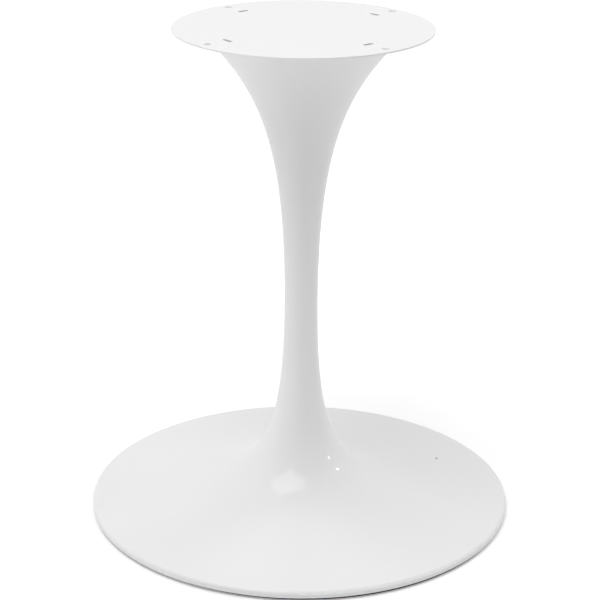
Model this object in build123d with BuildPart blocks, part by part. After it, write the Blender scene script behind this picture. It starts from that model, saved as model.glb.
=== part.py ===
from build123d import *
import os
from math import cos, radians, sin, tan

# Pedestal table base: a white trumpet column that flows into a wide round foot,
# a drilled plate on its mouth for the table top, and a black ring under the foot.
# Lengths in mm, angles in degrees. Z is the column's axis and the floor is at Z = 0.

# Overall sizes
overall_height = 720.0
foot_diameter = 618.0
plate_diameter = 363.0

# Column and foot shell
wall_thickness = 3.0
waist_diameter = 48.2
waist_height = 321.0
mouth_diameter = 284.0
mouth_angle = 46.5         # slope of the flare where it meets the plate
foot_angle = 5.2           # slope of the foot's top where it meets the rim
flare_waist_pull = 0.615   # how far each end of the curves runs on straight,
flare_mouth_pull = 0.65    # as a share of the distance between the two ends
foot_waist_pull = 0.974
foot_rim_pull = 0.777

# Rim of the foot
floor_gap = 5.0            # height of the rim's lower edge above the floor
rim_side_height = 5.0      # upright part of the rim, below its rounding
rim_radius = 4.0

# Plate for the table top
plate_thickness = 2.5
plate_edge_chamfer = 0.3
hole_count = 4
hole_angle = 40.5
bolt_hole_diameter = 11.0
bolt_edge_distance = 15.5  # from the plate's edge to the centres of the bolt holes
slot_length = 17.5
slot_width = 6.0
slot_clearance = 2.4       # between the slots and the inside of the mouth

# Ring that stands on the floor, stuck on a little off centre
ring_width = 8.0
ring_clearance = 3.0       # all round, from the ring to the inside of the rim
ring_near_gap = 0.5        # what is left of that clearance on the +X side

# Sizes that follow from those above
foot_radius = foot_diameter / 2
waist_radius = waist_diameter / 2
mouth_radius = mouth_diameter / 2
mouth_height = overall_height - plate_thickness
rounding_centre = Vector(foot_radius - rim_radius, floor_gap + rim_side_height)
foot_slope = tan(radians(foot_angle))
mouth_slope = tan(radians(mouth_angle))
bolt_circle = plate_diameter - 2 * bolt_edge_distance
mouth_inner_radius = mouth_radius - wall_thickness / sin(radians(mouth_angle))
slot_circle = 2 * (mouth_inner_radius - slot_clearance) - slot_width
ring_radius = foot_radius - wall_thickness - ring_clearance
ring_shift = ring_clearance - ring_near_gap
curve_steps = 20


# Pedestal: one seamless shell, open underneath and at its mouth. Its outer face is
# drawn from the floor up, and its inner face one wall thickness in from it.
foot_reach = foot_rim_pull * (foot_radius - waist_radius)
foot_drop = foot_waist_pull * (waist_height - rounding_centre.Y - rim_radius)
flare_rise = flare_waist_pull * (mouth_height - waist_height)
flare_reach = flare_mouth_pull * (mouth_radius - waist_radius)


def inner_face(outer_curve):
    """Draw the shell's inner curve, one wall thickness in from the outer one."""
    points = []
    for step in range(curve_steps + 1):
        share = step / curve_steps
        along = outer_curve % share
        inward = Vector(-along.Y, along.X)
        points.append((outer_curve @ share) + inward * wall_thickness)
    return Spline(*points, tangents=[outer_curve % 0, outer_curve % 1])


with BuildPart() as pedestal:
    with BuildSketch(Plane.XZ):
        with BuildLine():
            rim = Line((foot_radius, floor_gap), (foot_radius, rounding_centre.Y))
            rounding = CenterArc(rounding_centre, rim_radius, 0, 90 - foot_angle)
            foot = Bezier(
                rounding @ 1,
                (rounding @ 1) + Vector(-foot_reach, foot_reach * foot_slope),
                (waist_radius, waist_height - foot_drop),
                (waist_radius, waist_height),
            )
            flare = Bezier(
                foot @ 1,
                (waist_radius, waist_height + flare_rise),
                (mouth_radius - flare_reach, mouth_height - flare_reach * mouth_slope),
                (mouth_radius, mouth_height),
            )
            inner_flare = inner_face(flare)
            inner_face(foot)
            inner_radius = rim_radius - wall_thickness
            inner_rounding = CenterArc(rounding_centre, inner_radius, 0, 90 - foot_angle)
            inner_rim = Line(inner_rounding @ 0, (rim @ 0) - Vector(wall_thickness, 0))
            Line(flare @ 1, inner_flare @ 1)
            Line(inner_rim @ 1, rim @ 0)
        make_face()
        # the mouth is cut level, so that the plate sits on it face to face
        with Locations((mouth_radius, mouth_height)):
            Rectangle(mouth_radius, mouth_radius, align=(Align.MAX, Align.MIN), mode=Mode.SUBTRACT)
    revolve(axis=Axis.Z)
pedestal.part.label = "pedestal"


# Top plate: a round plate with an outer ring of bolt holes, clear of the flare,
# and an inner ring of short slots along the circle, just inside the mouth.
with BuildPart() as top_plate:
    with BuildSketch(Plane.XY.offset(mouth_height)):
        Circle(plate_diameter / 2)
        with PolarLocations(bolt_circle / 2, hole_count, start_angle=hole_angle):
            Circle(bolt_hole_diameter / 2, mode=Mode.SUBTRACT)
        with PolarLocations(slot_circle / 2, hole_count, start_angle=hole_angle):
            SlotOverall(slot_length, slot_width, rotation=90, mode=Mode.SUBTRACT)
    extrude(amount=plate_thickness)
    plate_rims = top_plate.edges().filter_by(GeomType.CIRCLE).sort_by(SortBy.RADIUS)[-2:]
    chamfer(plate_rims, length=plate_edge_chamfer)
top_plate.part.label = "top_plate"


# Floor ring: lies under the foot, inside the rim, and reaches down to the floor.
# Its top meets the foot's underside on the side where the ring is nearest to the rim,
# and its top edge is cut back there to clear the rounding inside the rim.
ring_height = rounding_centre.Y + inner_radius * cos(radians(foot_angle))
ring_chamfer = inner_radius - ring_near_gap

with BuildPart() as floor_ring:
    with BuildSketch(Plane((ring_shift, 0, 0))):
        Circle(ring_radius)
        Circle(ring_radius - ring_width, mode=Mode.SUBTRACT)
    extrude(amount=ring_height)
    top_edge = floor_ring.edges().group_by(Axis.Z)[-1].sort_by(SortBy.RADIUS)[-1]
    chamfer(top_edge, length=ring_chamfer)
floor_ring.part.label = "floor_ring"


os.makedirs("parts", exist_ok=True)
export_step(pedestal.part, "parts/pedestal.step")
export_step(top_plate.part, "parts/top_plate.step")
export_step(floor_ring.part, "parts/floor_ring.step")
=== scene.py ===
from math import cos, radians, sin

import bmesh
import bpy
from mathutils import Matrix, Quaternion, Vector

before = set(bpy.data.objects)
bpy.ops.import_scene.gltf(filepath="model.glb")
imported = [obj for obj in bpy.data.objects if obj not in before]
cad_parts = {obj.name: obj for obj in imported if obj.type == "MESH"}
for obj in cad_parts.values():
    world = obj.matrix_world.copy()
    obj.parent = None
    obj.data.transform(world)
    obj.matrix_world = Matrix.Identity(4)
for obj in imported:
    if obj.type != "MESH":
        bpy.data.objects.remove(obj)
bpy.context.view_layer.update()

# Lengths are in metres where nothing else is said. The floor is at Z = 0 and the column
# stands on the origin.

WHITE = (1.0, 1.0, 1.0, 1.0)

# Camera: the view that fits the outlines of plate, column and foot in the photograph
PHOTO_WIDTH = 600              # in pixels
FOCAL_LENGTH = 1856.8          # in pixels of the photograph
SENSOR_WIDTH = 36.0            # in millimetres
CAMERA_PLACE = (0.0, -2.5125, 1.2769)
CAMERA_PITCH = radians(20.86)  # down from the horizon
CAMERA_YAW = radians(-0.036)
CAMERA_ROLL = radians(0.487)

# Floor
FLOOR_SIZE = 16.0
FLOOR_CENTRE = (0.0, 0.0, 0.0)
FLOOR_COLOUR = (0.93, 0.93, 0.93, 1.0)
# what lifts the floor to white where the camera sees it: little near the foot, where the
# shadow lies, more beyond it, and still more far off, where the lamps' light fails
NEAR_GLOW = 0.22
MIDDLE_GLOW = 0.4
FAR_GLOW = 1.0
NEAR_REACH = 0.33
MIDDLE_REACH = 0.9
FAR_START = 2.8
FAR_REACH = 7.0

# Lamps. Each stands at the same distance from the point that it faces, so its place is
# its height above the horizon and its bearing: 0 is the camera's side, 90 is +X and -90
# is -X.
AMBIENT = 0.3                  # light from all round
LAMP_AIM = Vector((0.0, 0.0, 0.35))
LAMP_DISTANCE = 5.0
# the lamps that the gloss mirrors, each with its bearing, height angle, width, height,
# turn about its own axis and power
KEY_LAMPS = (
    ("overhead_box", -39.5, 68.0, 3.3, 3.75, 61.0, 105.0),
    ("upright_strip", 90.3, 19.3, 0.1, 0.4, 0.0, 9.0),
    ("level_strip", 104.4, 28.4, 0.3, 0.12, 0.0, 8.0),
)
# the lamps that only fill the shadows, the same way
FILL_LAMPS = (
    ("overhead_fill", -20.0, 62.0, 2.5, 2.5, 0.0, 27.0),
    ("low_left_box", -90.0, 8.0, 1.2, 1.2, 0.0, 29.0),
    ("back_left_box", -135.0, 30.0, 2.5, 2.5, 0.0, 31.0),
    ("back_right_box", 135.0, 30.0, 2.5, 2.5, 0.0, 52.0),
    ("right_box", 80.0, 60.0, 2.5, 2.5, 0.0, 19.0),
)

# White paint
PAINT_COLOUR = (0.86, 0.86, 0.86, 1.0)
PAINT_ROUGHNESS = 0.5
PAINT_ROUGHNESS_SPREAD = 0.02  # either way, in wide soft clouds
CLOUD_SCALE = 9.0
CLOUD_DETAIL = 3.0
PAINT_SHINE = 0.2
# the smooth skin on top, which gives the small highlights
GLOSS_WEIGHT = 0.1
GLOSS_ROUGHNESS = 0.05
GLOSS_IOR = 3.0
# the fine orange peel
PEEL_SCALE = 420.0
PEEL_DETAIL = 2.0
PEEL_STRENGTH = 0.05
PEEL_HEIGHT = 0.0004
# a small dark speck that lies on the foot
SPECK_PLACE = (0.2126, 0.0995, 0.0203)
SPECK_RADIUS = 0.0022
SPECK_CORE_RADIUS = 0.00154    # fully dark within it
SPECK_COLOUR = (0.06, 0.055, 0.05, 1.0)

# Black rubber
RUBBER_COLOUR = (0.02, 0.02, 0.02, 1.0)
RUBBER_SHINE = 0.15
RUBBER_ROUGHNESS_LOW = 0.7
RUBBER_ROUGHNESS_HIGH = 0.9
GRAIN_SCALE = 900.0
GRAIN_DETAIL = 2.0


def make_camera():
    """The photograph's view: turned by yaw, tipped by pitch, then rolled about its own axis."""
    data = bpy.data.cameras.new("camera")
    data.sensor_width = SENSOR_WIDTH
    data.lens = FOCAL_LENGTH / PHOTO_WIDTH * SENSOR_WIDTH
    camera = bpy.data.objects.new("camera", data)
    turn = Matrix.Rotation(-CAMERA_YAW, 4, "Z")
    tip = Matrix.Rotation(radians(90) - CAMERA_PITCH, 4, "X")
    roll = Matrix.Rotation(CAMERA_ROLL, 4, "Z")
    camera.matrix_world = Matrix.Translation(CAMERA_PLACE) @ turn @ tip @ roll
    bpy.context.collection.objects.link(camera)
    bpy.context.scene.camera = camera


def make_lamp(name, bearing, height_angle, width, height, turn, power):
    """A flat lamp that faces the column and doesn't show in the view itself."""
    data = bpy.data.lights.new(name, "AREA")
    data.shape = "RECTANGLE"
    data.size = width
    data.size_y = height
    data.energy = power
    lamp = bpy.data.objects.new(name, data)
    across = cos(radians(height_angle))
    towards = Vector((
        across * sin(radians(bearing)),
        -across * cos(radians(bearing)),
        sin(radians(height_angle)),
    ))
    lamp.location = LAMP_AIM + LAMP_DISTANCE * towards
    turned = Quaternion((0.0, 0.0, 1.0), radians(turn))
    lamp.rotation_euler = (towards.to_track_quat("Z", "Y") @ turned).to_euler()
    lamp.visible_camera = False
    bpy.context.collection.objects.link(lamp)
    return lamp


def combine(nodes, links, operation, first, second):
    """Two values put together, such as by ADD or MULTIPLY, and kept between 0 and 1."""
    node = nodes.new("ShaderNodeMath")
    node.operation = operation
    node.use_clamp = True
    links.new(first, node.inputs[0])
    links.new(second, node.inputs[1])
    return node.outputs[0]


def spread(nodes, links, source, start, end, low, high, curve="LINEAR"):
    """Map a value that runs from start to end onto low to high."""
    mapped = nodes.new("ShaderNodeMapRange")
    mapped.interpolation_type = curve
    mapped.inputs["From Min"].default_value = start
    mapped.inputs["From Max"].default_value = end
    mapped.inputs["To Min"].default_value = low
    mapped.inputs["To Max"].default_value = high
    links.new(source, mapped.inputs["Value"])
    return mapped.outputs["Result"]


def distance_from(nodes, links, point):
    """How far the surface is from a point that is fixed to the object."""
    place = nodes.new("ShaderNodeTexCoord")
    away = nodes.new("ShaderNodeVectorMath")
    away.operation = "DISTANCE"
    away.inputs[1].default_value = point
    links.new(place.outputs["Object"], away.inputs[0])
    return away.outputs["Value"]


def noise(nodes, links, scale, detail):
    """Noise that is fixed to the object."""
    place = nodes.new("ShaderNodeTexCoord")
    texture = nodes.new("ShaderNodeTexNoise")
    texture.inputs["Scale"].default_value = scale
    texture.inputs["Detail"].default_value = detail
    links.new(place.outputs["Object"], texture.inputs["Vector"])
    return texture.outputs["Fac"]


def seen_directly(nodes, links):
    """1 for rays from the camera and for what gloss and glass show, 0 for rays that light."""
    path = nodes.new("ShaderNodeLightPath")
    either = combine(nodes, links, "ADD", path.outputs["Is Camera Ray"], path.outputs["Is Glossy Ray"])
    return combine(nodes, links, "ADD", either, path.outputs["Is Transmission Ray"])


def new_material(name):
    """A material, with its nodes, its links and its shader."""
    material = bpy.data.materials.new(name)
    material.use_nodes = True
    nodes, links = material.node_tree.nodes, material.node_tree.links
    return material, nodes, links, nodes["Principled BSDF"]


def make_world():
    """A white room: it is seen as white, and lights the object a little from all round."""
    world = bpy.data.worlds.new("studio")
    world.use_nodes = True
    nodes, links = world.node_tree.nodes, world.node_tree.links
    light = nodes["Background"]
    light.inputs["Color"].default_value = WHITE
    light.inputs["Strength"].default_value = AMBIENT
    white = nodes.new("ShaderNodeBackground")
    white.inputs["Color"].default_value = WHITE
    mix = nodes.new("ShaderNodeMixShader")
    links.new(seen_directly(nodes, links), mix.inputs[0])
    links.new(light.outputs[0], mix.inputs[1])
    links.new(white.outputs[0], mix.inputs[2])
    links.new(mix.outputs[0], nodes["World Output"].inputs["Surface"])
    bpy.context.scene.world = world


def make_floor_paper():
    """Matt pale paper with a glow, weakest near the foot, that only shows where it is seen."""
    material, nodes, links, paper = new_material("floor_paper")
    paper.inputs["Base Color"].default_value = FLOOR_COLOUR
    paper.inputs["Roughness"].default_value = 1.0
    paper.inputs["Specular IOR Level"].default_value = 0.0
    paper.inputs["Emission Color"].default_value = WHITE
    reach = distance_from(nodes, links, FLOOR_CENTRE)
    middle = spread(nodes, links, reach, NEAR_REACH, MIDDLE_REACH, NEAR_GLOW, MIDDLE_GLOW, "SMOOTHSTEP")
    far = spread(nodes, links, reach, FAR_START, FAR_REACH, 0.0, FAR_GLOW - MIDDLE_GLOW, "SMOOTHSTEP")
    glow = combine(nodes, links, "ADD", middle, far)
    shown = combine(nodes, links, "MULTIPLY", glow, seen_directly(nodes, links))
    links.new(shown, paper.inputs["Emission Strength"])
    return material


def make_floor():
    """A wide pale sheet under the foot."""
    mesh = bpy.data.meshes.new("floor")
    shape = bmesh.new()
    bmesh.ops.create_grid(shape, x_segments=1, y_segments=1, size=FLOOR_SIZE / 2)
    shape.to_mesh(mesh)
    shape.free()
    floor = bpy.data.objects.new("floor", mesh)
    bpy.context.collection.objects.link(floor)
    mesh.materials.append(make_floor_paper())


def make_white_paint():
    """Powder coat: smooth and semi-gloss, with a fine orange peel and one dark speck."""
    material, nodes, links, paint = new_material("white_paint")
    paint.inputs["Specular IOR Level"].default_value = PAINT_SHINE
    paint.inputs["Coat Weight"].default_value = GLOSS_WEIGHT
    paint.inputs["Coat Roughness"].default_value = GLOSS_ROUGHNESS
    paint.inputs["Coat IOR"].default_value = GLOSS_IOR
    away = distance_from(nodes, links, SPECK_PLACE)
    clean = spread(nodes, links, away, SPECK_CORE_RADIUS, SPECK_RADIUS, 0.0, 1.0)
    colours = nodes.new("ShaderNodeValToRGB")
    colours.color_ramp.elements[0].color = SPECK_COLOUR
    colours.color_ramp.elements[1].color = PAINT_COLOUR
    links.new(clean, colours.inputs["Fac"])
    links.new(colours.outputs["Color"], paint.inputs["Base Color"])
    smoothest = PAINT_ROUGHNESS - PAINT_ROUGHNESS_SPREAD
    roughest = PAINT_ROUGHNESS + PAINT_ROUGHNESS_SPREAD
    cloud = noise(nodes, links, CLOUD_SCALE, CLOUD_DETAIL)
    links.new(spread(nodes, links, cloud, 0.0, 1.0, smoothest, roughest), paint.inputs["Roughness"])
    bump = nodes.new("ShaderNodeBump")
    bump.inputs["Strength"].default_value = PEEL_STRENGTH
    bump.inputs["Distance"].default_value = PEEL_HEIGHT
    links.new(noise(nodes, links, PEEL_SCALE, PEEL_DETAIL), bump.inputs["Height"])
    links.new(bump.outputs["Normal"], paint.inputs["Normal"])
    return material


def make_black_rubber():
    """Matt black rubber with a fine grain."""
    material, nodes, links, rubber = new_material("black_rubber")
    rubber.inputs["Base Color"].default_value = RUBBER_COLOUR
    rubber.inputs["Specular IOR Level"].default_value = RUBBER_SHINE
    grain = noise(nodes, links, GRAIN_SCALE, GRAIN_DETAIL)
    roughness = spread(nodes, links, grain, 0.0, 1.0, RUBBER_ROUGHNESS_LOW, RUBBER_ROUGHNESS_HIGH)
    links.new(roughness, rubber.inputs["Roughness"])
    return material


def dress(node, material):
    """Give a CAD node its finish."""
    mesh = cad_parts[node].data
    mesh.materials.clear()
    mesh.materials.append(material)


make_camera()
make_world()
make_floor()
for settings in KEY_LAMPS:
    make_lamp(*settings)
for settings in FILL_LAMPS:
    make_lamp(*settings).visible_glossy = False

white_paint = make_white_paint()
dress("pedestal", white_paint)
dress("top_plate", white_paint)
dress("floor_ring", make_black_rubber())

bpy.context.scene.view_settings.view_transform = "Standard"
